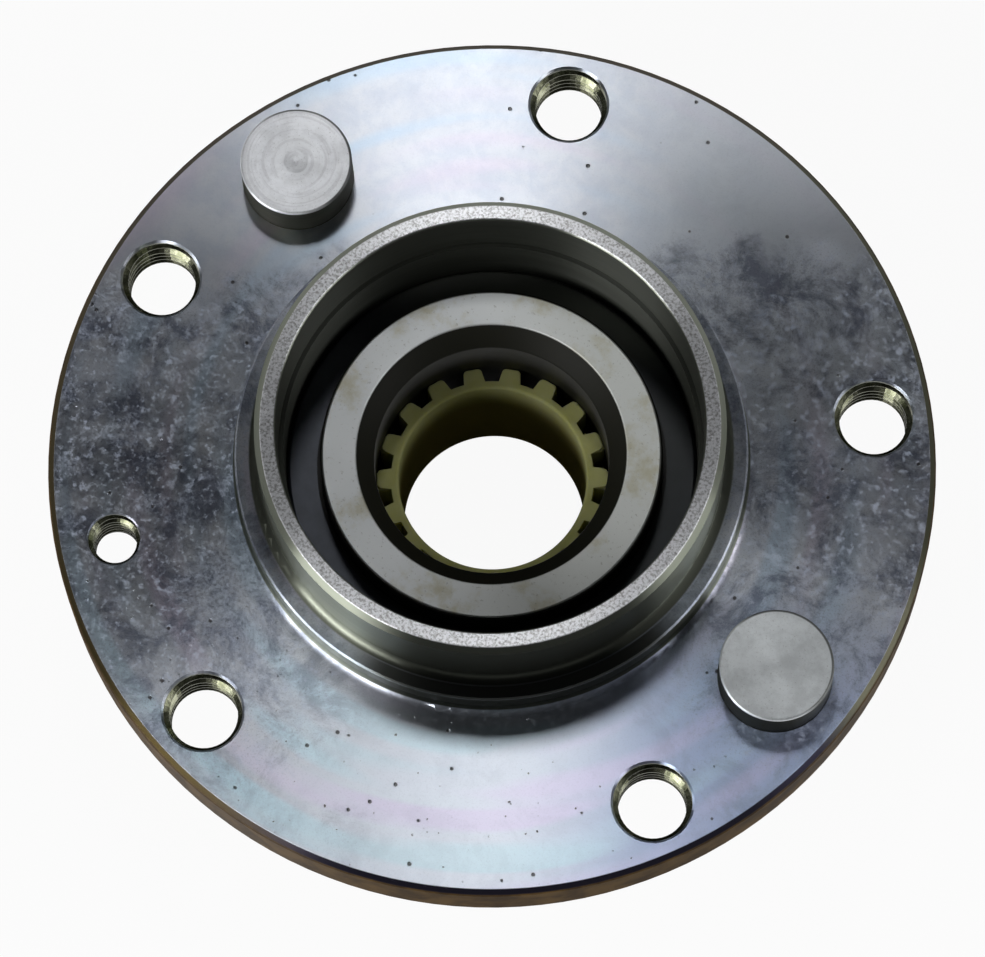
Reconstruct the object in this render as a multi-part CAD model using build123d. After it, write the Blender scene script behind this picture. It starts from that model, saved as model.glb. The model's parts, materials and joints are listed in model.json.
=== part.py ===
from build123d import *
import os
from math import cos, radians, sin

# A flanged wheel hub bearing. The outer ring carries the wheel and turns, and the split
# inner ring pair stays on the spindle. Millimetres. The bearing axis is Z, +Z points away
# from the vehicle, and z = 0 is the flange face that the brake disc and the wheel sit on.

# ---- wheel flange -------------------------------------------------------------------
bolt_circle_radius = 59.0
flange_rim = 9.1                    # from the bolt circle to the flange's edge
flange_thickness = 10.0
flange_edge_chamfer = 1.0
flange_back_fillet = 3.0

bolt_count = 5
bolt_thread_radius = 6.0            # M12
bolt_countersink = 0.35
first_bolt_angle = 90.0

screw_thread_radius = 4.0           # M8, holds the brake disc while the wheel is off
screw_countersink = 0.2
screw_bolt_offset = 30.0            # degrees back from the third bolt hole

# ---- locating dowels ----------------------------------------------------------------
dowel_inset = 4.0                   # from the bolt circle to the dowels' circle
dowel_bolt_offset = 45.0            # degrees round from the first and the last bolt hole
dowel_radius = 8.65
dowel_height = 7.0
dowel_edge_round = 0.4
dowel_seat_depth = 0.5              # the head stands in a shallow seat in the flange face
dowel_seat_clearance = 0.1
dowel_undercut = 0.3                # round the head's foot, inside the seat
dowel_shank_radius = 6.0
dowel_shank_recess = 0.4            # the shank stops this short of the flange's back
dowel_pip_radius = 1.9              # the lathe pip left on the upper dowel's face
dowel_pip_height = 0.18

# ---- collar: wheel spigot, disc pilot and cap seat ----------------------------------
collar_height = 18.7
cap_seat_step = 0.7                 # from the seal bore out to the grease cap's seat
spigot_wall = 3.2                   # from the cap seat out to the wheel spigot
disc_pilot_step = 3.7               # from the spigot out to the disc pilot
spigot_chamfer = 1.0
disc_pilot_height = 4.8
disc_pilot_chamfer = 0.3
pilot_cove = 1.4                    # the hollow round at the foot of each step
cap_seat_depth = 10.6
cap_seat_chamfer = 0.3

# ---- barrel -------------------------------------------------------------------------
barrel_wall = 7.4                   # round the seal bore
barrel_chamfer = 1.5

# ---- balls and raceways -------------------------------------------------------------
balls_per_row = 14
ball_radius = 4.7625                # 3/8 inch ball
pitch_radius = 27.0
contact_angle = radians(40)
row_spacing = 13.6
raceway_ratio = 1.04                # raceway radius over ball radius
raceway_clearance = 0.08
outer_land_rise = 1.9               # from the pitch circle out to the land between the rows
outer_bore_rise = 4.6               # from the pitch circle out to the low shoulders, the seal bores

# ---- inner rings --------------------------------------------------------------------
ring_face_height = 3.2              # outboard face, above the flange face
ring_stand_off = 1.0                # inboard face, below the end of the barrel
bore_radius = 18.0
bore_lead_in = 2.85                 # radial size of the wide chamfer at each face
bore_lead_in_depth = 3.4
land_length = 9.9                   # outboard stretch of the bore that grips the spindle
relief_depth = 0.4
relief_taper = 0.4
ring_edge_chamfer = 0.5
seal_land_drop = 0.8                # from the pitch circle in to the seal land
high_shoulder_drop = 1.4            # from the pitch circle in to each ring's high shoulder
low_shoulder_drop = 3.7             # from the pitch circle in to each ring's low shoulder

# ---- cages --------------------------------------------------------------------------
pocket_clearance = 0.2
cage_inside_pitch = 0.4             # from the pitch circle in to the cage's bore
cage_outside_pitch = 2.6            # from the pitch circle out to the cage's outside
cage_web = 0.74                     # behind the pockets
cage_mouth = 3.2                    # from the balls' centres to the open side
cage_slot_width = 0.9
cage_slot_depth = 2.2
cage_chamfer = 0.3

# ---- seals --------------------------------------------------------------------------
seal_recess = 6.5                   # outboard seal face, below the inner ring's face
seal_width = 3.9
seal_sheet = 0.8
seal_window = 0.7                   # from the seal land to the outboard case's inner edge
seal_bend_round = 0.6
seal_rubber_backing = 0.7           # the rubber layer bonded under each case's plate
lip_clearance = 0.1
lip_thickness = 0.5
lip_flare = 0.9                     # how far a lip's back stands out from its tip
lip_tip_bevel = 0.6
lip_root_width = 1.2
axial_lip_offset = 1.7              # from the tube lip's tip to the lip on the slinger's disc
seal_cage_gap = 0.3
cassette_width = 4.5
cassette_recess = 0.4
slinger_gap = 0.5                   # between the slinger's rim and the seal bore
cassette_window = 1.0               # from the slinger's tube to the inboard case's edge

# ---- retaining sleeve ---------------------------------------------------------------
sleeve_top = -10.3
sleeve_wall = 1.17
sleeve_draft = 0.25
sleeve_edge_round = 0.45
rib_count = 18
first_rib_angle = 92.0
rib_height = 2.1
rib_clearance = 0.15                # between a rib's tip and the bore's land
rib_root_width = 3.5
rib_tip_width = 2.7
rib_tip_round = 0.7
barb_clearance = 0.15               # between a barb's tip and the bore relief
barb_start = 1.3                    # below the top of the sleeve
barb_length = 6.0

# ---- derived places -----------------------------------------------------------------
flange_radius = bolt_circle_radius + flange_rim
bolt_pitch = 360 / bolt_count
screw_angle = first_bolt_angle + 2 * bolt_pitch - screw_bolt_offset
dowel_circle_radius = bolt_circle_radius - dowel_inset
dowel_angles = {
    "upper": first_bolt_angle + dowel_bolt_offset,
    "lower": first_bolt_angle - bolt_pitch - dowel_bolt_offset,
}

outer_land_radius = pitch_radius + outer_land_rise
outer_bore_radius = pitch_radius + outer_bore_rise
cap_seat_radius = outer_bore_radius + cap_seat_step
spigot_radius = cap_seat_radius + spigot_wall
disc_pilot_radius = spigot_radius + disc_pilot_step
barrel_radius = outer_bore_radius + barrel_wall
seal_land_radius = pitch_radius - seal_land_drop
seal_window_radius = seal_land_radius + seal_window
high_shoulder_radius = pitch_radius - high_shoulder_drop
low_shoulder_radius = pitch_radius - low_shoulder_drop
cage_inner_radius = pitch_radius - cage_inside_pitch
cage_outer_radius = pitch_radius + cage_outside_pitch
raceway_radius = raceway_ratio * ball_radius
raceway_offset = raceway_radius - ball_radius - raceway_clearance
relief_radius = bore_radius + relief_depth
rib_tip_radius = bore_radius - rib_clearance
sleeve_tube_radius = rib_tip_radius - rib_height
sleeve_inner_top = sleeve_tube_radius - sleeve_wall
sleeve_inner_bottom = sleeve_inner_top - sleeve_draft

cap_seat_floor = collar_height - cap_seat_depth
seal_top = ring_face_height - seal_recess
seal_bottom = seal_top - seal_width
cage_back = ball_radius + pocket_clearance + cage_web
outboard_row = seal_bottom - seal_cage_gap - cage_back
inboard_row = outboard_row - row_spacing
split_plane = (outboard_row + inboard_row) / 2

cassette_top = inboard_row - cage_back - seal_cage_gap
cassette_bottom = cassette_top - cassette_width
barrel_end = cassette_bottom - cassette_recess
inboard_face = barrel_end - ring_stand_off
sleeve_bottom = inboard_face + bore_lead_in_depth
relief_top = ring_face_height - bore_lead_in_depth - land_length
relief_bottom = 2 * split_plane - relief_top


def profile(corners):
    """A face in the XZ plane from (radius, height, corner round) triples."""
    outline = FilletPolyline(
        *[(r, z) for r, z, _ in corners],
        radius=[corner_round for _, _, corner_round in corners],
        close=True,
    )
    return Plane.XZ * make_face(outline)


def turned(section):
    """A solid of revolution about the bearing axis."""
    return revolve(section, axis=Axis.Z)


def raceway(radius, height):
    """The round cross-section of a raceway, to be cut from a ring's profile."""
    return Plane.XZ * Pos(radius, height) * Circle(raceway_radius)


def polar(radius, angle, height=0.0):
    """A location on a circle about the bearing axis."""
    return Pos(radius * cos(radians(angle)), radius * sin(radians(angle)), height)


def flange_hole(radius, countersink):
    """A through hole with a countersink at each face, drawn with its axis on Z."""
    top, bottom = 0.0, -flange_thickness
    corners = [
        (0, top, 0),
        (radius + countersink, top, 0),
        (radius, top - countersink, 0),
        (radius, bottom + countersink, 0),
        (radius + countersink, bottom, 0),
        (0, bottom, 0),
    ]
    return turned(profile(corners))


def dowel_hole():
    """The through hole for a dowel's shank, with the shallow seat for its head."""
    seat_radius = dowel_radius + dowel_seat_clearance
    corners = [
        (0, 0, 0),
        (seat_radius, 0, 0),
        (seat_radius, -dowel_seat_depth, 0),
        (dowel_shank_radius, -dowel_seat_depth, 0),
        (dowel_shank_radius, -flange_thickness, 0),
        (0, -flange_thickness, 0),
    ]
    return turned(profile(corners))


def hub_flange():
    """The outer ring: flange, collar, barrel and both outer raceways in one forging."""
    outline = [
        (cap_seat_radius + cap_seat_chamfer, collar_height, 0),
        (spigot_radius - spigot_chamfer, collar_height, 0),
        (spigot_radius, collar_height - spigot_chamfer, 0),
        (spigot_radius, disc_pilot_height, pilot_cove),
        (disc_pilot_radius - disc_pilot_chamfer, disc_pilot_height, 0),
        (disc_pilot_radius, disc_pilot_height - disc_pilot_chamfer, 0),
        (disc_pilot_radius, 0, pilot_cove),
        (flange_radius - flange_edge_chamfer, 0, 0),
        (flange_radius, -flange_edge_chamfer, 0),
        (flange_radius, flange_edge_chamfer - flange_thickness, 0),
        (flange_radius - flange_edge_chamfer, -flange_thickness, 0),
        (barrel_radius, -flange_thickness, flange_back_fillet),
        (barrel_radius, barrel_end + barrel_chamfer, 0),
        (barrel_radius - barrel_chamfer, barrel_end, 0),
        (outer_bore_radius + cassette_recess, barrel_end, 0),
        (outer_bore_radius, barrel_end + cassette_recess, 0),
        (outer_bore_radius, inboard_row, 0),
        (outer_land_radius, inboard_row, 0),
        (outer_land_radius, outboard_row, 0),
        (outer_bore_radius, outboard_row, 0),
        (outer_bore_radius, cap_seat_floor, 0),
        (cap_seat_radius, cap_seat_floor, 0),
        (cap_seat_radius, collar_height - cap_seat_chamfer, 0),
    ]
    section = profile(outline)
    centre_radius = pitch_radius - raceway_offset * cos(contact_angle)
    shift = raceway_offset * sin(contact_angle)
    section -= raceway(centre_radius, outboard_row + shift)
    section -= raceway(centre_radius, inboard_row - shift)
    body = turned(section)

    bolt_hole = flange_hole(bolt_thread_radius, bolt_countersink)
    for i in range(bolt_count):
        body -= polar(bolt_circle_radius, first_bolt_angle + i * bolt_pitch) * bolt_hole
    body -= polar(bolt_circle_radius, screw_angle) * flange_hole(screw_thread_radius, screw_countersink)
    for angle in dowel_angles.values():
        body -= polar(dowel_circle_radius, angle) * dowel_hole()
    return body


def locating_dowel(angle, pip_height):
    """A turned dowel whose shank is pressed into the flange, with or without a lathe pip."""
    shank_end = dowel_shank_recess - flange_thickness
    face = [(0, dowel_height + pip_height, 0)]
    if pip_height:
        face.append((dowel_pip_radius, dowel_height, 0))
    corners = face + [
        (dowel_radius, dowel_height, dowel_edge_round),
        (dowel_radius, 0, 0),
        (dowel_radius - dowel_undercut, 0, 0),
        (dowel_radius - dowel_undercut, -dowel_seat_depth, 0),
        (dowel_shank_radius, -dowel_seat_depth, 0),
        (dowel_shank_radius, shank_end, dowel_edge_round),
        (0, shank_end, 0),
    ]
    return polar(dowel_circle_radius, angle) * turned(profile(corners))


def inner_ring(face, row, relief_end):
    """One half of the split inner ring, from the split plane to its face."""
    out = 1 if face > split_plane else -1
    shoulder_end = row + out * (cage_back + seal_cage_gap / 2)
    outline = [
        (relief_radius + ring_edge_chamfer, split_plane, 0),
        (relief_radius, split_plane + out * ring_edge_chamfer, 0),
        (relief_radius, relief_end - out * relief_taper, 0),
        (bore_radius, relief_end, 0),
        (bore_radius, face - out * bore_lead_in_depth, ring_edge_chamfer),
        (bore_radius + bore_lead_in, face, 0),
        (seal_land_radius - ring_edge_chamfer, face, 0),
        (seal_land_radius, face - out * ring_edge_chamfer, 0),
        (seal_land_radius, shoulder_end, 0),
        (high_shoulder_radius, shoulder_end, 0),
        (high_shoulder_radius, row, 0),
        (low_shoulder_radius, row, 0),
        (low_shoulder_radius, split_plane + out * ring_edge_chamfer, 0),
        (low_shoulder_radius - ring_edge_chamfer, split_plane, 0),
    ]
    section = profile(outline)
    centre_radius = pitch_radius + raceway_offset * cos(contact_angle)
    section -= raceway(centre_radius, row - out * raceway_offset * sin(contact_angle))
    return turned(section)


def ball(row, index):
    """One ball of a row, its centre on the pitch circle."""
    return polar(pitch_radius, 360 * index / balls_per_row, row) * Sphere(ball_radius)


def cage(row, out):
    """A crown cage: the pockets open towards the split, so the balls snap in from there."""
    back = row + out * cage_back
    mouth = row - out * cage_mouth
    outline = [
        (cage_inner_radius, mouth, 0),
        (cage_inner_radius, back - out * cage_chamfer, 0),
        (cage_inner_radius + cage_chamfer, back, 0),
        (cage_outer_radius - cage_chamfer, back, 0),
        (cage_outer_radius, back - out * cage_chamfer, 0),
        (cage_outer_radius, mouth, 0),
    ]
    body = turned(profile(outline))
    pocket = Sphere(ball_radius + pocket_clearance)
    radial_size = 2 * (cage_outer_radius - cage_inner_radius)
    slot = Box(radial_size, cage_slot_width, 2 * cage_slot_depth)
    for i in range(balls_per_row):
        angle = 360 * i / balls_per_row
        between = angle + 180 / balls_per_row
        body -= polar(pitch_radius, angle, row) * pocket
        body -= polar(pitch_radius, between, mouth) * Rot(0, 0, between) * slot
    return body


def outboard_seal_case():
    """The steel case, pressed into the outer ring, with its plate facing outboard."""
    leg_radius = outer_bore_radius - seal_sheet
    outline = [
        (outer_bore_radius, seal_top, seal_bend_round),
        (outer_bore_radius, seal_bottom, 0),
        (leg_radius, seal_bottom, 0),
        (leg_radius, seal_top - seal_sheet, 0),
        (seal_window_radius, seal_top - seal_sheet, 0),
        (seal_window_radius, seal_top, 0),
    ]
    return turned(profile(outline))


def outboard_seal_lip():
    """The rubber under the plate, with a dust lip and a main lip round the seal land."""
    lip_radius = seal_land_radius + lip_clearance
    under_plate = seal_top - seal_sheet
    backing_end = under_plate - seal_rubber_backing
    leg_radius = outer_bore_radius - seal_sheet
    outline = [
        (seal_window_radius, seal_top, 0),
        (seal_window_radius, under_plate, 0),
        (leg_radius, under_plate, 0),
        (leg_radius, backing_end, 0),
        (seal_window_radius + lip_root_width, backing_end, 0),
        (lip_radius + lip_flare, seal_bottom + lip_tip_bevel / 2, 0),
        (lip_radius, seal_bottom + 3 * lip_tip_bevel / 2, 0),
        (lip_radius + lip_thickness, backing_end, 0),
        (lip_radius, seal_top, 0),
    ]
    return turned(profile(outline))


def slinger():
    """The disc pressed on the inboard inner ring, which throws water off the seal."""
    tube_radius = seal_land_radius + seal_sheet
    outline = [
        (seal_land_radius, cassette_top, 0),
        (tube_radius, cassette_top, 0),
        (tube_radius, cassette_bottom + seal_sheet, 0),
        (outer_bore_radius - slinger_gap, cassette_bottom + seal_sheet, 0),
        (outer_bore_radius - slinger_gap, cassette_bottom, 0),
        (seal_land_radius, cassette_bottom, seal_bend_round),
    ]
    return turned(profile(outline))


def inboard_case_edge():
    """Radius of the hole in the inboard case's plate."""
    return seal_land_radius + seal_sheet + cassette_window


def inboard_seal_case():
    """The steel case, pressed into the outer ring, with its plate facing the balls."""
    leg_radius = outer_bore_radius - seal_sheet
    leg_end = cassette_bottom + 2 * seal_sheet
    outline = [
        (inboard_case_edge(), cassette_top, 0),
        (outer_bore_radius, cassette_top, seal_bend_round),
        (outer_bore_radius, leg_end, 0),
        (leg_radius, leg_end, 0),
        (leg_radius, cassette_top - seal_sheet, 0),
        (inboard_case_edge(), cassette_top - seal_sheet, 0),
    ]
    return turned(profile(outline))


def inboard_seal_lip():
    """The rubber on the inboard case: a lip round the slinger's tube and one on its disc."""
    tube_lip = seal_land_radius + seal_sheet + lip_clearance
    disc_lip = cassette_bottom + seal_sheet + lip_clearance
    axial_lip = tube_lip + axial_lip_offset
    under_plate = cassette_top - seal_sheet
    backing_end = under_plate - seal_rubber_backing
    leg_radius = outer_bore_radius - seal_sheet
    outline = [
        (inboard_case_edge(), cassette_top, 0),
        (tube_lip, cassette_top, 0),
        (tube_lip + lip_thickness, under_plate, 0),
        (tube_lip, backing_end, 0),
        (tube_lip + lip_flare, backing_end, 0),
        (axial_lip, disc_lip, 0),
        (axial_lip + lip_thickness, disc_lip, 0),
        (axial_lip + lip_thickness / 2, backing_end, 0),
        (leg_radius, backing_end, 0),
        (leg_radius, under_plate, 0),
        (inboard_case_edge(), under_plate, 0),
    ]
    return turned(profile(outline))


def sleeve_ribs(tip_radius, top, length):
    """The ring of round-cornered ribs between the sleeve's tube and the bore."""
    root_radius = (sleeve_inner_top + sleeve_tube_radius) / 2
    rib = make_face(
        FilletPolyline(
            (root_radius, -rib_root_width / 2),
            (tip_radius, -rib_tip_width / 2),
            (tip_radius, rib_tip_width / 2),
            (root_radius, rib_root_width / 2),
            radius=[0, rib_tip_round, rib_tip_round, 0],
            close=True,
        )
    )
    rib_pitch = 360 / rib_count
    ribs = Sketch() + [Rot(0, 0, first_rib_angle + i * rib_pitch) * rib for i in range(rib_count)]
    return extrude(Pos(0, 0, top) * ribs, amount=length, dir=(0, 0, -1))


def retaining_sleeve():
    """The moulded sleeve that holds the inner ring halves together until they are fitted."""
    outline = [
        (sleeve_inner_bottom, sleeve_bottom, 0),
        (sleeve_tube_radius, sleeve_bottom, 0),
        (sleeve_tube_radius, sleeve_top, 0),
        (sleeve_inner_top, sleeve_top, sleeve_edge_round),
    ]
    body = turned(profile(outline))
    body += sleeve_ribs(rib_tip_radius, sleeve_top, sleeve_top - sleeve_bottom)
    barb_tip = relief_radius - barb_clearance
    upper_barb = sleeve_top - barb_start
    lower_barb = 2 * split_plane - upper_barb + barb_length
    body += sleeve_ribs(barb_tip, upper_barb, barb_length)
    body += sleeve_ribs(barb_tip, lower_barb, barb_length)
    return body


def pieces():
    """Every piece by its name."""
    named = {
        "hub_flange": hub_flange(),
        "dowel_upper": locating_dowel(dowel_angles["upper"], dowel_pip_height),
        "dowel_lower": locating_dowel(dowel_angles["lower"], 0),
        "inner_ring_outboard": inner_ring(ring_face_height, outboard_row, relief_top),
        "inner_ring_inboard": inner_ring(inboard_face, inboard_row, relief_bottom),
        "cage_outboard": cage(outboard_row, 1),
        "cage_inboard": cage(inboard_row, -1),
        "seal_case_outboard": outboard_seal_case(),
        "seal_lip_outboard": outboard_seal_lip(),
        "seal_case_inboard": inboard_seal_case(),
        "seal_lip_inboard": inboard_seal_lip(),
        "seal_slinger_inboard": slinger(),
        "retaining_sleeve": retaining_sleeve(),
    }
    for i in range(balls_per_row):
        named[f"ball_outboard_{i + 1:02d}"] = ball(outboard_row, i)
        named[f"ball_inboard_{i + 1:02d}"] = ball(inboard_row, i)
    return named


os.makedirs("parts", exist_ok=True)
for name, piece in pieces().items():
    export_step(piece, f"parts/{name}.step")
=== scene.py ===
"""The looks of the wheel hub bearing: finishes of every node, tapped threads, light and camera."""
import json
import math

import bpy
from mathutils import Matrix, Vector


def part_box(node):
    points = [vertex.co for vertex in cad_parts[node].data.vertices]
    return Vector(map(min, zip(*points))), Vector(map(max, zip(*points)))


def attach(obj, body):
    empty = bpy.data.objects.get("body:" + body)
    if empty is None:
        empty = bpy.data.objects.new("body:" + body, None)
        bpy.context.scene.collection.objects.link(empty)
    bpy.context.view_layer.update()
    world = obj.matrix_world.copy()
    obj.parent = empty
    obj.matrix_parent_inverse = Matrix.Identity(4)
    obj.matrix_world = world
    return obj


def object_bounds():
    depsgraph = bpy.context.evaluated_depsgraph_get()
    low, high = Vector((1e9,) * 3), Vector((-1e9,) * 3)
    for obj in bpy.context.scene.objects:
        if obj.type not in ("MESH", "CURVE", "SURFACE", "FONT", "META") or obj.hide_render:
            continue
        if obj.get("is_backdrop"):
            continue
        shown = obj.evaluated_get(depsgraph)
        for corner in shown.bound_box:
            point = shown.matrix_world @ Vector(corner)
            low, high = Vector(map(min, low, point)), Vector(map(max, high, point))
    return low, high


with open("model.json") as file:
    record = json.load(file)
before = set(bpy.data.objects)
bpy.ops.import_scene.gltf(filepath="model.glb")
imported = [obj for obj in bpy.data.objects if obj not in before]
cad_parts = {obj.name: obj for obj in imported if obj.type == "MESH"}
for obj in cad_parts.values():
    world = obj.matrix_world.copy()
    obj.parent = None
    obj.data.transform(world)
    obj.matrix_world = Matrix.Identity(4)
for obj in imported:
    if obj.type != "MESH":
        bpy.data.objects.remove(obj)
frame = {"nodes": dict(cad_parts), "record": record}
cad_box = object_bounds()

MM = 0.001
MOUNTS = {mount["name"]: mount for mount in frame["record"]["mounts"]}

# ---- the image and its camera: lens in pixels, angles in degrees, places in millimetres ---
IMAGE_WIDTH = 985
LENS_PIXELS = 5302.9
SENSOR_WIDTH = 36.0
CAMERA_SWING = -14.07
CAMERA_TILT = -16.335
CAMERA_ROLL = 2.396
CAMERA_OFFSET = (-0.1355, 2.965, -812.56)

# ---- sizes of the part that the finishes follow, in metres --------------------------------
HUB_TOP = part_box("hub_flange")[1]
FLANGE_RADIUS = HUB_TOP.x
COLLAR_TOP = HUB_TOP.z
FLANGE_THICKNESS = 10.0 * MM
FLANGE_CHAMFER = 1.0 * MM
SPIGOT_RADIUS = MOUNTS["wheel_spigot"]["dims"]["r_mm"] * MM
COLLAR_WALL_MIDDLE = SPIGOT_RADIUS - 1.6 * MM
FACE_INNER_RADIUS = 37.5 * MM           # the flange's face lies outside this radius
FACE_HEIGHTS = (-0.25 * MM, 0.3 * MM)
HOLE_LIP_HEIGHTS = (-1.2 * MM, -0.3 * MM)
FOOT_COVE_END = 40.5 * MM               # outer end of the cove at the pilot's foot
STEP_INNER_RADIUS = 36.8 * MM           # inner end of the flat on top of the pilot
STEP_HEIGHTS = (4.6 * MM, 5.2 * MM)     # that flat lies between these
COVE_RADII = (35.7 * MM, 37.0 * MM)     # the cove between that flat and the spigot
COVE_HEIGHTS = (4.5 * MM, 6.0 * MM)
RING_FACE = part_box("inner_ring_outboard")[1].z
SLEEVE_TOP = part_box("retaining_sleeve")[1].z
SLEEVE_WALL_MIDDLE = 15.2 * MM
DOWEL_EDGE_RADIUS = 8.15 * MM           # a dowel's edge is rounded outside this radius
DOWEL_EDGE_HEIGHT = 6.75 * MM           # and its side lies below this height

# ---- the holes and their threads, whose depth is measured from the hole's wall ------------
BOLT_CIRCLE = MOUNTS["wheel_bolts"]["dims"]["pcd_mm"] / 2 * MM
BOLT_COUNT = MOUNTS["wheel_bolts"]["dims"]["count"]
BOLT_RADIUS = MOUNTS["wheel_bolts"]["dims"]["hole_r_mm"] * MM
BOLT_PITCH = 1.5 * MM
BOLT_THREAD_DEPTH = 0.8 * MM
FIRST_BOLT_ANGLE = 90.0
SCREW_RADIUS = MOUNTS["disc_screw"]["dims"]["r_mm"] * MM
SCREW_PITCH = 1.25 * MM
SCREW_THREAD_DEPTH = 0.67 * MM
THREAD_TOP = -0.25 * MM
THREAD_BOTTOM = -FLANGE_THICKNESS + 0.2 * MM

# ---- stains and noise ---------------------------------------------------------------------
NOISE_MIDDLE = (0.35, 0.65)             # most of a noise's values lie between these
HAZE_PLACE = (-34 * MM, -29 * MM, 0)    # the thickest patch of dried film
PAINTED_SHADE_SIDE = (0.319, -0.948, 0)          # the way that the collar's side in painted shade faces

# ---- the floor, in metres, and the studio's walls -----------------------------------------
FLOOR_HALF_WIDTH = 4.0
FLOOR_GAP = 0.1 * MM
FLOOR_GLOW = 0.94                       # how bright the lens and the mirrors see it

HORIZON_GLOW = 0.22
CEILING_GLOW = 0.02

# ---- the lamps: azimuth and elevation in degrees, distance and size in metres, watts ------
# Azimuth 0 is the image's right and 90 its top.
LAMPS = {
    "key": (91, 63.5, 1.2, (0.18, 0.18), 1.1),
    "sky": (91, 50, 1.2, (1.0, 0.2), 0.3),
    "left": (216, 30, 1.3, (0.8, 0.5), 10.6),
    "right": (-22, 30, 1.3, (0.8, 0.5), 4.6),
}


class Graph:
    """A node tree, with short ways to add nodes to it."""

    def __init__(self, tree):
        self.nodes = tree.nodes
        self.links = tree.links

    def feed(self, socket, value):
        """Links a node's output to this input, or sets the input to a plain value."""
        if isinstance(value, bpy.types.NodeSocket):
            self.links.new(value, socket)
        else:
            socket.default_value = value

    def add(self, kind, inputs, output=0, **settings):
        """Adds a node, links or sets its inputs, and returns one of its outputs."""
        made = self.nodes.new(kind)
        for name, value in settings.items():
            setattr(made, name, value)
        for name, value in inputs.items():
            self.feed(made.inputs[name], value)
        return made.outputs[output]

    def math(self, operation, a, b=0.0):
        return self.add("ShaderNodeMath", {0: a, 1: b}, operation=operation)

    def times(self, first, *others):
        """The product of two or more values."""
        for value in others:
            first = self.math("MULTIPLY", first, value)
        return first

    def plus(self, a, b):
        return self.math("ADD", a, b)

    def most(self, first, *others):
        """The largest of two or more values."""
        for value in others:
            first = self.math("MAXIMUM", first, value)
        return first

    def mix_shaders(self, factor, a, b):
        return self.add("ShaderNodeMixShader", {0: factor, 1: a, 2: b})

    def seen_rays(self):
        """1 for the rays that show a background: the camera's, mirrored and transmitted ones."""
        path = self.nodes.new("ShaderNodeLightPath").outputs
        return self.most(path["Is Camera Ray"], path["Is Glossy Ray"], path["Is Transmission Ray"])


class Finish(Graph):
    """A node material in the part's own place, so that its stains ride with the part."""

    def __init__(self, name, axis=(0.0, 0.0)):
        """The axis is the x and y, in metres, that the piece was turned round."""
        self.material = bpy.data.materials.new(name)
        self.material.use_nodes = True
        super().__init__(self.material.node_tree)
        self.shader = self.nodes["Principled BSDF"]
        self.place = self.add("ShaderNodeTexCoord", {}, "Object")
        parts = self.nodes.new("ShaderNodeSeparateXYZ")
        self.links.new(self.place, parts.inputs[0])
        self.x, self.y, self.z = parts.outputs
        level = self.vector("MULTIPLY", self.place, (1, 1, 0))
        from_axis = self.vector("SUBTRACT", level, (*axis, 0))
        self.radius = self.length(from_axis)
        self.outward = self.vector("NORMALIZE", from_axis)

    def set(self, **values):
        """Sets the shader's own sockets, whose names are given with _ for a space."""
        for name, value in values.items():
            self.feed(self.shader.inputs[name.replace("_", " ")], value)

    def vector(self, operation, a, b=(0, 0, 0)):
        return self.add("ShaderNodeVectorMath", {0: a, 1: b}, operation=operation)

    def length(self, a):
        return self.add("ShaderNodeVectorMath", {0: a}, "Value", operation="LENGTH")

    def dot(self, a, b):
        return self.add("ShaderNodeVectorMath", {0: a, 1: b}, "Value", operation="DOT_PRODUCT")

    def rise(self, value, low, high):
        """0 below low, 1 above high, and smooth between them. It falls where low is above high."""
        inputs = {"Value": value, "From Min": low, "From Max": high}
        return self.add("ShaderNodeMapRange", inputs, interpolation_type="SMOOTHSTEP")

    def between(self, value, low, high, edge):
        """1 from low to high, and 0 beyond them."""
        return self.times(self.rise(value, low - edge, low), self.rise(value, high + edge, high))

    def mix(self, factor, a, b, blend="MIX"):
        """A colour mixed from two others, each a node's output or its red, green and blue."""
        made = self.nodes.new("ShaderNodeMix")
        made.data_type = "RGBA"
        made.blend_type = blend
        self.feed(made.inputs[0], factor)
        for index, colour in ((6, a), (7, b)):
            if isinstance(colour, tuple):
                colour = (*colour, 1.0)
            self.feed(made.inputs[index], colour)
        return made.outputs[2]

    def noise(self, size, detail=3.0, roughness=0.55, offset=(0, 0, 0), distortion=0.0):
        """Cloudy noise whose features are about size metres across. The offset picks another cloud."""
        place = self.vector("ADD", self.place, offset)
        inputs = {"Vector": place, "Scale": 1 / size, "Detail": detail, "Roughness": roughness}
        inputs["Distortion"] = distortion
        return self.add("ShaderNodeTexNoise", inputs)

    def turned(self, pitch, arc, detail=2.0):
        """Noise drawn out along the cut of a lathe tool: fine across it and long round the axis."""
        across = self.times(self.radius, 1 / pitch)
        round_axis = self.add("ShaderNodeVectorMath", {0: self.outward, "Scale": arc}, operation="SCALE")
        lift = self.add("ShaderNodeCombineXYZ", {2: across})
        spot = self.vector("ADD", round_axis, lift)
        inputs = {"Vector": spot, "W": self.times(self.z, 1 / pitch), "Scale": 1.0, "Detail": detail}
        return self.add("ShaderNodeTexNoise", inputs, noise_dimensions="4D")

    def cells(self, size, offset=(0, 0, 0)):
        """Distance to the nearest of scattered points, about size metres apart."""
        place = self.vector("ADD", self.place, offset)
        return self.add("ShaderNodeTexVoronoi", {"Vector": place, "Scale": 1 / size}, "Distance")

    def bump(self, *layers):
        """Stacks (height, depth in metres) layers on the normal."""
        normal = None
        for height, depth in layers:
            inputs = {"Height": height, "Distance": depth}
            if normal:
                inputs["Normal"] = normal
            normal = self.add("ShaderNodeBump", inputs)
        self.set(Normal=normal)

    def turned_gloss(self, amount):
        """Makes highlights spread across the lathe marks, which run round the piece's own axis."""
        along = self.vector("CROSS_PRODUCT", (0, 0, 1), self.outward)
        self.set(Anisotropic=amount, Anisotropic_Rotation=0.25, Tangent=along)


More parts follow.
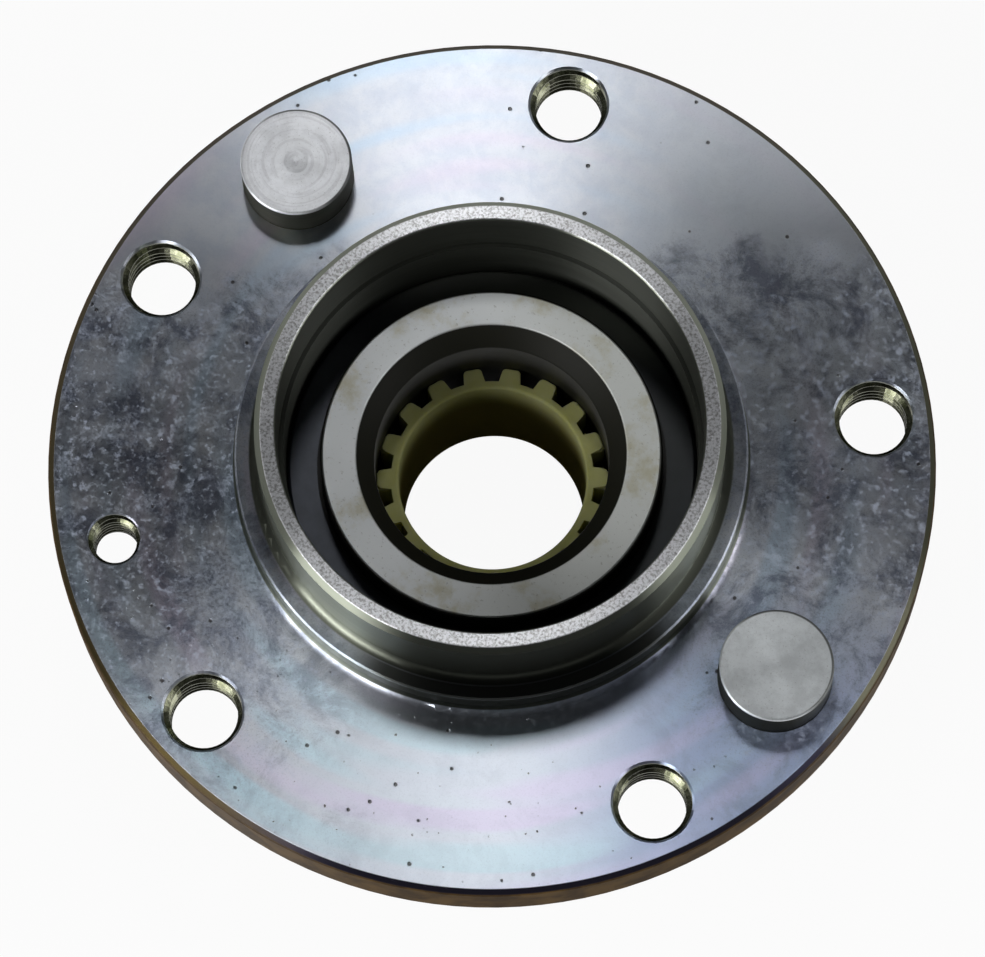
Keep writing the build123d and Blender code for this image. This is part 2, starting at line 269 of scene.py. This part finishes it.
def dimmed(colour, share):
    """This share of a plain colour."""
    return tuple(share * part for part in colour)


def film_zone(f, cloud):
    """Where the flange's face is stained: its two sides, and little of its top and bottom.

    The cloud is a noise that makes the zone's borders ragged.
    """
    swing = math.radians(-CAMERA_SWING)
    across = (math.cos(swing), math.sin(swing), 0)
    upward = (-math.sin(swing), math.cos(swing), 0)
    sideways = f.dot(f.outward, across)
    height = f.dot(f.place, upward)
    reach = f.plus(f.math("ABSOLUTE", sideways), f.times(f.plus(cloud, -0.5), 0.7))
    lower = f.plus(f.times(f.rise(reach, 0.35, 0.9), 0.92), 0.08)
    torn = f.plus(f.noise(9 * MM, 5.0, 0.6, (0.8, 0.1, 0)), -0.5)
    ragged = f.plus(height, f.times(torn, 26 * MM))
    upper = f.plus(f.times(f.rise(ragged, 35 * MM, 28 * MM), f.rise(reach, 0.40, 0.62)), 0.06)
    above = f.rise(height, -6 * MM, 6 * MM)
    return f.plus(lower, f.times(above, f.math("SUBTRACT", upper, lower)))


def dried_film(f, cloud):
    """How thick the pale dried film is: a veil, smudges, spots, flecks, mist and one patch of haze."""
    blotch = f.noise(5 * MM, 8.0, 0.74, (0.1, 0.7, 0), 0.3)
    spray = f.noise(0.55 * MM, 4.0, 0.75, (0.2, 0.2, 0))
    patchy = f.noise(8 * MM, 3.0, 0.5, (0.4, 0.9, 0))
    veil = f.times(f.rise(cloud, 0.42, 0.66), 0.16)
    smudge = f.times(f.rise(blotch, 0.48, 0.66), f.plus(0.10, f.times(f.rise(spray, 0.36, 0.62), 0.9)))
    spot = f.rise(f.noise(1.5 * MM, 5.0, 0.70, (0.03, 0.01, 0)), 0.51, 0.66)
    spot = f.times(spot, f.rise(patchy, 0.38, 0.54))
    fleck = f.rise(f.noise(0.9 * MM, 4.0, 0.7, (0.5, 0.2, 0)), 0.53, 0.66)
    fleck = f.times(fleck, f.rise(patchy, 0.58, 0.42))
    mist = f.rise(f.noise(0.9 * MM, 5.0, 0.75, (0.6, 0.8, 0)), 0.47, 0.68)
    haze = f.rise(f.length(f.vector("SUBTRACT", f.place, HAZE_PLACE)), 13 * MM, 3 * MM)
    haze = f.times(haze, f.plus(0.04, f.times(f.rise(spray, 0.38, 0.62), 0.42)))
    film = f.most(veil, f.times(smudge, 0.62), f.times(spot, 0.75), f.times(fleck, 0.62), haze)
    return f.plus(film, f.times(mist, 0.16))


def stained(f, clean):
    """The face's steel under dark clouds, dried film and dust, and how thick the film is."""
    cloud = f.noise(17 * MM, 6.0, 0.62, (0.31, 0.12, 0), 0.4)
    zone = film_zone(f, cloud)
    streak = f.turned(0.5 * MM, 9.0)
    film = f.times(dried_film(f, cloud), zone, f.plus(0.72, f.times(streak, 0.55)))

    murk = f.rise(f.noise(10 * MM, 8.0, 0.76, (0.7, 0.3, 0), 0.4), 0.43, 0.62)
    shade = f.times(murk, f.plus(0.02, f.times(zone, 0.78)))
    grit = f.noise(0.32 * MM, 3.0, 0.75, (0.9, 0.3, 0))
    dust = f.times(f.rise(grit, 0.52, 0.68), f.plus(0.06, f.times(zone, 0.34)))
    colour = f.mix(shade, clean, (0.15, 0.17, 0.24))
    colour = f.mix(film, colour, (0.50, 0.56, 0.69))
    colour = f.mix(dust, colour, (0.10, 0.11, 0.13))
    return colour, film


def polished_steel(f, patch, bottom):
    """The flange face's clean steel: grey-blue, with faint pink and cyan bands along the cut, a painted
    highlight at the bottom and the upper right, and painted shade at the lower right.

    The patch is a noise, and bottom rises to 1 at the bottom of the flange.
    """
    hue = f.turned(6.0 * MM, 0.9, 1.0)
    colour = f.mix(f.rise(patch, *NOISE_MIDDLE), (0.58, 0.625, 0.71), (0.67, 0.70, 0.76))
    colour = f.mix(f.times(f.rise(hue, 0.52, 0.70), 0.55), colour, (0.72, 0.62, 0.76))
    colour = f.mix(f.times(f.rise(hue, 0.48, 0.32), 0.65), colour, (0.52, 0.67, 0.82))
    # Painted highlight: lighter steel at the bottom.
    bright = f.times(bottom, f.rise(f.x, -30 * MM, -4 * MM))
    colour = f.mix(bright, colour, (0.84, 0.90, 1.0))
    # Painted highlight: lighter steel at the upper right.
    upper_right = f.times(f.rise(f.y, 8 * MM, 30 * MM), f.rise(f.x, 0, 30 * MM))
    colour = f.mix(f.times(upper_right, 0.75), colour, (0.86, 0.92, 1.0))
    # Painted shade: darker steel at the lower right.
    shaded_lower_right = f.times(f.rise(f.y, -8 * MM, -34 * MM), f.rise(f.x, 10 * MM, 42 * MM))
    colour = f.mix(f.times(shaded_lower_right, 0.85), colour, (0.40, 0.50, 0.74))
    colour = f.mix(f.times(f.rise(hue, 0.52, 0.66), bottom, 0.5), colour, (0.86, 0.74, 1.0))
    return f.mix(f.times(f.rise(hue, 0.48, 0.36), bottom, 0.5), colour, (0.66, 0.92, 1.0))


def face_pits(f, patch, grain, bottom):
    """Corrosion pits in the flange's face: round ones all over, and small ragged ones at the bottom."""
    pits = f.rise(f.cells(4.5 * MM), 0.085, 0.045)
    uneven = f.plus(f.cells(1.6 * MM, (0.4, 0.2, 0)), f.times(f.plus(grain, -0.5), 0.5))
    small_pits = f.times(f.rise(uneven, 0.12, 0.07), f.rise(patch, 0.48, 0.56))
    clear_of_cove = f.rise(f.radius, FOOT_COVE_END, FOOT_COVE_END + 1 * MM)
    return f.times(f.most(pits, f.times(small_pits, bottom)), clear_of_cove)


def chamfer_tone_and_shade(f):
    """The flange's chamfer: near-black navy at the bottom, which is painted shade; brown at the left and
    the top, olive at the right.
    """
    # Near-black navy where the chamfer faces away from the lamps: painted shade.
    tone = f.mix(f.rise(f.x, -8 * MM, -40 * MM), (0.028, 0.026, 0.042), (0.070, 0.052, 0.020))
    tone = f.mix(f.rise(f.y, 5 * MM, 30 * MM), tone, (0.050, 0.040, 0.024))
    olive = f.mix(f.rise(f.y, -16 * MM, 6 * MM), (0.15, 0.145, 0.10), (0.075, 0.075, 0.045))
    right = f.times(f.rise(f.x, 22 * MM, 44 * MM), f.rise(f.y, -36 * MM, -24 * MM))
    return f.mix(right, tone, olive)


def hub_steel():
    """Turned steel: polished face with a pale film at its sides, rusty edge, dull collar and inside.
    Painted shade darkens the inside, the collar's side away from the lamps, a cove there and the chamfer's
    bottom.
    """
    f = Finish("hub_steel")
    edge = 0.15 * MM
    face = f.times(f.between(f.z, *FACE_HEIGHTS, edge),
                   f.rise(f.radius, FACE_INNER_RADIUS, FACE_INNER_RADIUS + 1 * MM))
    step = f.times(f.between(f.z, *STEP_HEIGHTS, edge),
                   f.rise(f.radius, STEP_INNER_RADIUS, STEP_INNER_RADIUS + 0.4 * MM))
    cove = f.times(f.between(f.z, *COVE_HEIGHTS, edge), f.between(f.radius, *COVE_RADII, edge))
    side = f.rise(f.radius, FLANGE_RADIUS - 0.35 * MM, FLANGE_RADIUS - 0.1 * MM)
    chamfer = f.rise(f.radius, FLANGE_RADIUS - 1.05 * FLANGE_CHAMFER, FLANGE_RADIUS - 0.9 * FLANGE_CHAMFER)
    rim = f.rise(f.z, COLLAR_TOP - 0.2 * MM, COLLAR_TOP - 0.05 * MM)
    well = f.times(f.rise(f.radius, COLLAR_WALL_MIDDLE, COLLAR_WALL_MIDDLE - 0.3 * MM),
                   f.rise(f.z, COLLAR_TOP - 0.2 * MM, COLLAR_TOP - 0.4 * MM))
    back = f.rise(f.z, -FLANGE_THICKNESS + 0.3 * MM, -FLANGE_THICKNESS)
    bolt_band = f.between(f.radius, BOLT_CIRCLE - 7 * MM, BOLT_CIRCLE + 7 * MM, 0.3 * MM)
    hole_lip = f.times(bolt_band, f.between(f.z, *HOLE_LIP_HEIGHTS, 0.1 * MM))
    # The collar's side away from the lamps, which is darkened below as painted shade.
    painted_shade_side = f.rise(f.dot(f.outward, PAINTED_SHADE_SIDE), 0.70, 0.86)
    # The cove at the lower side is rougher, and its colour is darkened as painted shade that dims a lamp
    # highlight.
    rough_shaded_cove = f.times(cove, f.rise(f.y, -29 * MM, -24 * MM))
    bottom = f.rise(f.y, -20 * MM, -55 * MM)

    fine = f.turned(0.35 * MM, 2.0)
    broad = f.turned(2.2 * MM, 1.2)
    patch = f.noise(5.5 * MM, 5.0, 0.65, (0.1, 0.7, 0), 0.3)
    grain = f.noise(0.7 * MM, 3.0)
    torn = f.noise(0.40 * MM, 4.0, 0.7, (0.6, 0.1, 0))
    pits = f.times(face_pits(f, patch, grain, bottom), face)

    face_tone, film = stained(f, polished_steel(f, patch, bottom))
    film = f.times(film, f.most(face, f.times(rim, 0.6)))
    face_tone = f.mix(f.times(pits, 0.85), face_tone, (0.06, 0.05, 0.045))
    # Painted shade: the pilot's flat is darkened on the collar's side away from the lamps.
    face_tone = f.mix(f.times(step, painted_shade_side), face_tone, (0.10, 0.105, 0.10))
    collar_tone = f.mix(broad, (0.17, 0.185, 0.145), (0.34, 0.36, 0.30))
    # Painted shade: the collar is darkened on its side away from the lamps.
    collar_tone = f.mix(painted_shade_side, collar_tone, (0.07, 0.075, 0.062))
    # Painted shade in the cove at the lower side.
    collar_tone = f.mix(f.times(rough_shaded_cove, 0.8), collar_tone, (0.09, 0.095, 0.08))
    collar_tone = f.mix(hole_lip, collar_tone, (0.60, 0.62, 0.56))
    # The well inside the collar is near black: painted shade.
    shaded_well_tone = f.mix(fine, (0.028, 0.031, 0.024), (0.075, 0.08, 0.068))
    rim_tone = f.mix(f.rise(torn, 0.34, 0.58), (0.34, 0.34, 0.34), (0.82, 0.83, 0.86))
    rust_tone = f.mix(f.rise(patch, *NOISE_MIDDLE), (0.045, 0.024, 0.006), (0.12, 0.070, 0.022))
    back_tone = f.mix(patch, (0.22, 0.20, 0.18), (0.42, 0.41, 0.40))
    colour = f.mix(f.most(face, step), collar_tone, face_tone)
    colour = f.mix(well, colour, shaded_well_tone)
    colour = f.mix(rim, colour, rim_tone)
    colour = f.mix(chamfer, colour, chamfer_tone_and_shade(f))
    colour = f.mix(side, colour, rust_tone)
    colour = f.mix(back, colour, back_tone)

    rough = f.plus(0.308, f.times(film, 0.25))
    rough = f.plus(rough, f.times(f.plus(well, f.plus(f.times(side, 2.0), back)), 0.15))
    rough = f.plus(rough, f.times(rough_shaded_cove, 0.3))
    coated = f.most(film, side, f.times(well, 0.4), f.times(rim, 0.3))
    f.set(Base_Color=colour, Roughness=rough, Metallic=f.plus(1.0, f.times(coated, -0.95)))
    f.turned_gloss(0.96)
    f.bump((f.turned(0.9 * MM, 1.5), 4e-6), (fine, 1.5e-6), (pits, -6e-5), (grain, 1e-6))
    return f.material


def thread_steel():
    """The threads' ridges: bright cut steel under a film of oil, darker lower down in the hole as painted
    shade.
    """
    f = Finish("thread_steel")
    patch = f.noise(2.5 * MM, 4.0, 0.6)
    deep_shade = f.rise(f.z, -1.5 * MM, -FLANGE_THICKNESS)
    colour = f.mix(f.rise(patch, *NOISE_MIDDLE), (0.10, 0.105, 0.065), (0.27, 0.275, 0.20))
    # Painted shade: darker lower down in the hole.
    colour = f.mix(f.times(deep_shade, 0.6), colour, (0.05, 0.048, 0.03))
    f.set(Base_Color=colour, Roughness=f.plus(0.15, f.times(patch, 0.2)), Metallic=1.0)
    f.bump((f.noise(0.4 * MM, 3.0), 1e-5), (patch, 2e-5))
    return f.material


def dowel_steel(name, mount, clean, side, marks):
    """Faced steel with a dull side, whose given colour carries painted light and shade, and a painted dark
    reflection on the rounded edge at the upper right. The marks are how clear the lathe's rings are on its
    face.
    """
    x, y, _ = mount["pos_m"]
    f = Finish(name, (x, y))
    rings = f.turned(0.5 * MM, 0.6)
    wide = f.turned(1.6 * MM, 0.5, 1.0)
    grain = f.noise(0.35 * MM, 4.0, 0.75)
    wear = f.noise(4 * MM, 5.0, 0.65)
    below = f.rise(f.z, DOWEL_EDGE_HEIGHT, DOWEL_EDGE_HEIGHT - 0.2 * MM)
    upper_right = f.rise(f.plus(f.x, f.y), x + y - 3 * MM, x + y + 3 * MM)
    edge = f.times(f.rise(f.radius, DOWEL_EDGE_RADIUS, DOWEL_EDGE_RADIUS + 0.2 * MM), upper_right)
    colour = f.mix(f.rise(wear, *NOISE_MIDDLE), dimmed(clean, 0.8), clean)
    colour = f.mix(f.times(f.rise(wide, 0.45, 0.7), 0.35 * marks), colour, (0.86, 0.88, 0.90))
    colour = f.mix(f.times(f.rise(rings, 0.48, 0.62), 0.30 * marks), colour, (0.50, 0.50, 0.53))
    colour = f.mix(f.times(f.rise(grain, 0.56, 0.70), 0.6), colour, (0.36, 0.36, 0.36))
    # Painted reflection: a thin dark line on the rounded edge at the upper right.
    colour = f.mix(f.times(edge, 0.8), colour, (0.05, 0.052, 0.045))
    # The side's colour carries painted light and shade.
    colour = f.mix(below, colour, f.mix(rings, dimmed(side, 0.4), side))
    f.set(Base_Color=colour, Roughness=f.plus(0.36, f.times(grain, 0.14)))
    f.set(Metallic=f.plus(0.70, f.times(below, 0.25)))
    f.turned_gloss(0.35)
    f.bump((rings, 6e-6), (wide, 1e-5), (grain, 7e-6))
    return f.material


def ring_steel():
    """Ground bearing steel: a brown bloom in places, darker and less metallic at the right as painted
    shade, and near black in the bore as painted shade.
    """
    f = Finish("ring_steel")
    cloud = f.noise(8 * MM, 5.0, 0.65, (0.2, 0.4, 0))
    grain = f.noise(0.5 * MM, 3.0, 0.6)
    fine = f.turned(0.25 * MM, 3.0)
    face = f.rise(f.z, RING_FACE - 0.3 * MM, RING_FACE - 0.05 * MM)
    # Painted shade: the ring is darker and less metallic towards the right.
    shaded_right = f.rise(f.x, -12 * MM, 14 * MM)
    colour = f.mix(f.rise(cloud, 0.50, 0.72), (0.90, 0.93, 0.94), (0.72, 0.70, 0.57))
    colour = f.mix(f.times(f.rise(grain, 0.60, 0.74), 0.5), colour, (0.42, 0.42, 0.38))
    colour = f.mix(shaded_right, colour, f.mix(1.0, colour, (0.92, 0.92, 0.88), "MULTIPLY"))
    # Painted shade: everything but the face, the bore too, is near black.
    colour = f.mix(face, (0.014, 0.014, 0.010), colour)
    f.set(Base_Color=colour, Roughness=f.plus(0.42, f.times(cloud, 0.2)))
    f.set(Metallic=f.times(face, f.plus(0.85, f.times(shaded_right, -0.55))), Specular_IOR_Level=0.2)
    f.turned_gloss(0.3)
    f.bump((fine, 2e-6), (grain, 6e-6), (cloud, 1e-5))
    return f.material


def ball_steel():
    """Polished bearing steel with a smear of grease."""
    f = Finish("ball_steel")
    smear = f.noise(4 * MM, 3.0)
    f.set(Base_Color=f.mix(smear, (0.62, 0.62, 0.60), (0.75, 0.75, 0.74)), Metallic=1.0)
    f.set(Roughness=f.plus(0.06, f.times(smear, 0.1)))
    return f.material


def cage_nylon():
    """Dark nylon, flecked by its glass fibres."""
    f = Finish("cage_nylon")
    fleck = f.noise(0.6 * MM, 3.0)
    f.set(Base_Color=f.mix(fleck, (0.05, 0.045, 0.035), (0.11, 0.10, 0.08)), Roughness=0.45)
    f.bump((fleck, 8e-6))
    return f.material


def seal_steel():
    """Pressed sheet with a film of grease, with painted shade at the right and painted light at the top.
    """
    f = Finish("seal_steel")
    cloud = f.noise(6 * MM, 4.0, 0.6)
    colour = f.mix(cloud, (0.035, 0.038, 0.045), (0.10, 0.11, 0.135))
    # Painted shade: darker at the right.
    colour = f.mix(f.times(f.rise(f.x, 8 * MM, 24 * MM), 0.75), colour, (0.010, 0.012, 0.009))
    # Painted light: paler at the top.
    colour = f.mix(f.times(f.rise(f.y, 18 * MM, 28 * MM), 0.7), colour, (0.20, 0.21, 0.18))
    f.set(Base_Color=colour, Metallic=0.6)
    f.set(Roughness=f.plus(0.22, f.times(cloud, 0.2)))
    f.bump((cloud, 3e-5))
    return f.material


def seal_rubber():
    """Black nitrile rubber."""
    f = Finish("seal_rubber")
    fleck = f.noise(0.5 * MM, 3.0)
    f.set(Base_Color=f.mix(fleck, (0.008, 0.008, 0.008), (0.022, 0.022, 0.020)), Roughness=0.55)
    f.bump((fleck, 1e-5))
    return f.material


def sleeve_nylon():
    """Natural nylon: cloudy yellow-olive, darker and browner far inside, as painted shade."""
    f = Finish("sleeve_nylon")
    cloud = f.noise(3.5 * MM, 4.0, 0.6)
    inside = f.rise(f.radius, SLEEVE_WALL_MIDDLE, SLEEVE_WALL_MIDDLE - 0.6 * MM)
    deep_shade = f.times(f.rise(f.z, SLEEVE_TOP - 0.3 * MM, SLEEVE_TOP - 9 * MM), inside)
    colour = f.mix(cloud, (0.58, 0.58, 0.20), (0.76, 0.76, 0.36))
    # Painted shade: darker and browner far inside the tube.
    colour = f.mix(deep_shade, colour, (0.30, 0.26, 0.09))
    f.set(Base_Color=colour, Roughness=f.plus(0.50, f.times(cloud, 0.15)), Specular_IOR_Level=0.0)
    f.set(Subsurface_Weight=0.5, Subsurface_Radius=(1.0, 0.95, 0.4), Subsurface_Scale=2.5 * MM)
    f.bump((cloud, 3e-5))
    return f.material


def dress(finish, *nodes):
    """Gives every one of these CAD nodes the finish."""
    for name in nodes:
        slots = frame["nodes"][name].data.materials
        slots.clear()
        slots.append(finish)


def thread_mesh(name, major, minor, pitch):
    """A helical ridge on a hole's wall, whose ends run out into the wall over half a turn."""
    steps_per_turn = 40
    half_crest = 0.125 * pitch / 2
    root = major + 0.02 * MM            # the ridge's foot is sunk into the wall
    turns = (THREAD_TOP - THREAD_BOTTOM - pitch) / pitch
    steps = int(turns * steps_per_turn)
    runout = steps_per_turn // 2
    points = []
    for i in range(steps + 1):
        angle = 2 * math.pi * i / steps_per_turn
        middle = THREAD_TOP - pitch / 2 - pitch * i / steps_per_turn
        grown = min(1.0, i / runout, (steps - i) / runout)
        crest = major - (major - minor) * grown
        outline = ((root, pitch / 2), (crest, half_crest), (crest, -half_crest), (root, -pitch / 2))
        for radius, lift in outline:
            points.append((radius * math.cos(angle), radius * math.sin(angle), middle + lift))
    faces = [(0, 1, 2, 3), tuple(4 * steps + k for k in (3, 2, 1, 0))]
    for i in range(steps):
        for k in range(4):
            a, b = 4 * i + k, 4 * i + (k + 1) % 4
            faces.append((a, a + 4, b + 4, b))
    mesh = bpy.data.meshes.new(name)
    mesh.from_pydata(points, [], faces)
    mesh.validate()
    mesh.update()
    return mesh


def thread(name, finish, place, major, minor, pitch):
    """Cuts a hole's thread: a ridge that rides on the hub."""
    mesh = thread_mesh(name, major, minor, pitch)
    mesh.materials.append(finish)
    piece = bpy.data.objects.new(name, mesh)
    piece.location = place
    bpy.context.scene.collection.objects.link(piece)
    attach(piece, "hub")


def threads(finish):
    """The M12 threads of the wheel bolts' holes and the M8 thread of the small hole."""
    for i in range(BOLT_COUNT):
        angle = math.radians(FIRST_BOLT_ANGLE + 360 * i / BOLT_COUNT)
        place = (BOLT_CIRCLE * math.cos(angle), BOLT_CIRCLE * math.sin(angle), 0)
        crest = BOLT_RADIUS - BOLT_THREAD_DEPTH
        thread(f"bolt_thread_{i + 1}", finish, place, BOLT_RADIUS, crest, BOLT_PITCH)
    x, y, _ = MOUNTS["disc_screw"]["pos_m"]
    crest = SCREW_RADIUS - SCREW_THREAD_DEPTH
    thread("screw_thread", finish, (x, y, 0), SCREW_RADIUS, crest, SCREW_PITCH)


def add_camera():
    """The photo's own camera, as fitted to the circles of the part."""
    data = bpy.data.cameras.new("camera")
    data.sensor_fit = "HORIZONTAL"
    data.sensor_width = SENSOR_WIDTH
    data.lens = LENS_PIXELS / IMAGE_WIDTH * SENSOR_WIDTH
    data.clip_start = 0.01
    turn = Matrix.Rotation(math.radians(CAMERA_ROLL), 3, "Z")
    turn = turn @ Matrix.Rotation(math.radians(CAMERA_TILT), 3, "X")
    turn = turn @ Matrix.Rotation(math.radians(CAMERA_SWING), 3, "Z")
    back = turn.transposed()
    camera = bpy.data.objects.new("camera", data)
    camera.matrix_world = Matrix.Translation(back @ Vector(CAMERA_OFFSET) * -MM) @ back.to_4x4()
    bpy.context.scene.collection.objects.link(camera)
    bpy.context.scene.camera = camera


def add_lamp(name, azimuth, elevation, distance, size, watts):
    """A soft rectangular lamp aimed at the part."""
    data = bpy.data.lights.new(name, "AREA")
    data.shape = "RECTANGLE"
    data.size, data.size_y = size
    data.energy = watts
    lamp = bpy.data.objects.new(name, data)
    around = math.radians(azimuth - CAMERA_SWING)
    above = math.radians(elevation)
    level = math.cos(above)
    toward = Vector((level * math.cos(around), level * math.sin(around), math.sin(above)))
    lamp.location = toward * distance
    lamp.rotation_euler = toward.to_track_quat("Z", "Y").to_euler()
    bpy.context.scene.collection.objects.link(lamp)


def add_world():
    """Pale near the horizon and dim overhead, as in a studio with a dark ceiling. Plain white below."""
    world = bpy.data.worlds.new("studio")
    world.use_nodes = True
    bpy.context.scene.world = world
    g = Graph(world.node_tree)
    way = g.add("ShaderNodeTexCoord", {}, "Generated")
    height = g.add("ShaderNodeSeparateXYZ", {0: way}, "Z")
    fade = {"Value": height, "From Min": 0.02, "From Max": 0.40}
    fade.update({"To Min": HORIZON_GLOW, "To Max": CEILING_GLOW})
    above = g.add("ShaderNodeMapRange", fade)
    below = g.times(g.math("LESS_THAN", height, 0.0), g.seen_rays())
    background = g.nodes["Background"].inputs
    g.feed(background["Color"], (0.95, 0.97, 1.0, 1))
    g.feed(background["Strength"], g.most(above, below))


def add_floor():
    """A pale floor just under the part, clear from below. The lens and mirrors see it near white."""
    half = FLOOR_HALF_WIDTH
    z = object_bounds()[0][2] - FLOOR_GAP
    corners = [(-half, -half, z), (half, -half, z), (half, half, z), (-half, half, z)]
    mesh = bpy.data.meshes.new("floor")
    mesh.from_pydata(corners, [], [(0, 1, 2, 3)])
    material = bpy.data.materials.new("floor")
    material.use_nodes = True
    g = Graph(material.node_tree)
    g.nodes.remove(g.nodes["Principled BSDF"])
    matte = g.add("ShaderNodeBsdfDiffuse", {"Color": (0.8, 0.8, 0.8, 1)})
    glow = g.add("ShaderNodeEmission", {"Color": (1, 1, 1, 1)})
    seen = g.mix_shaders(g.times(g.seen_rays(), FLOOR_GLOW), matte, glow)
    clear = g.add("ShaderNodeBsdfTransparent", {})
    from_below = g.add("ShaderNodeNewGeometry", {}, "Backfacing")
    surface = g.mix_shaders(from_below, seen, clear)
    g.feed(g.nodes["Material Output"].inputs["Surface"], surface)
    mesh.materials.append(material)
    floor = bpy.data.objects.new("floor", mesh)
    bpy.context.scene.collection.objects.link(floor)
    floor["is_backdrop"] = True


dress(hub_steel(), "hub_flange")
dowel_looks = {     # the face's colour, the side's colour, and how clear the lathe's rings are; the upper side is lightened as painted light, the lower one darkened as painted shade
    "upper": ((0.94, 0.96, 1.0), (0.17, 0.17, 0.13), 1.0),
    "lower": ((0.80, 0.84, 0.86), (0.065, 0.067, 0.05), 0.15),
}
for which, looks in dowel_looks.items():
    dress(dowel_steel(f"dowel_{which}_steel", MOUNTS[f"dowel_{which}_pin"], *looks), f"dowel_{which}")
dress(ring_steel(), "inner_ring_outboard", "inner_ring_inboard")
dress(ball_steel(), *[name for name in frame["nodes"] if name.startswith("ball_")])
dress(cage_nylon(), "cage_outboard", "cage_inboard")
dress(seal_steel(), "seal_case_outboard", "seal_case_inboard", "seal_slinger_inboard")
dress(seal_rubber(), "seal_lip_outboard", "seal_lip_inboard")
dress(sleeve_nylon(), "retaining_sleeve")
threads(thread_steel())

add_camera()
add_world()
add_floor()
for lamp_name, lamp_values in LAMPS.items():
    add_lamp(lamp_name, *lamp_values)

bpy.context.scene.view_settings.view_transform = "Standard"

sizes = {"cad": cad_box, "visual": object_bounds()}
sizes = {name: [[float(v) for v in corner] for corner in box] for name, box in sizes.items()}
